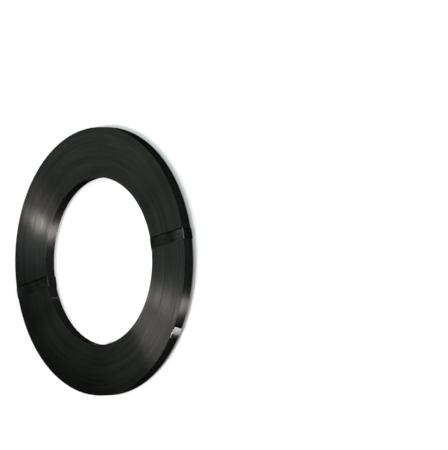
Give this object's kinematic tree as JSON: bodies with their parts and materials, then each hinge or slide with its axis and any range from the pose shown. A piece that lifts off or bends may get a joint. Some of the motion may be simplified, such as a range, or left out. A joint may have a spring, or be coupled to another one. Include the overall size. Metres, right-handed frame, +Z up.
{
  "type": "roll of steel strapping",
  "caption": "Ribbon-wound roll of dark steel strapping, lying on its end, held by flat steel ties led through the bore and crimped underneath.",
  "frame": {"origin": "on the bore axis, on the floor that the roll lies on", "axes": "+Z up along the bore axis, +X through the middle of one tie, the other tie close to -X"},
  "size_m": [0.6544, 0.6527, 0.0297],
  "materials": {
    "strapping": "dark painted and waxed steel strap with fine circular turn lines",
    "tie": "dark painted steel strap, bare along the bends",
    "seal": "plain steel sheet, pressed"
  },
  "bodies": {
    "root": {"strapping_coil": "strapping", "tie_right": "tie", "tie_left": "tie", "seal_right": "seal", "seal_left": "seal"}
  },
  "joints": []
}
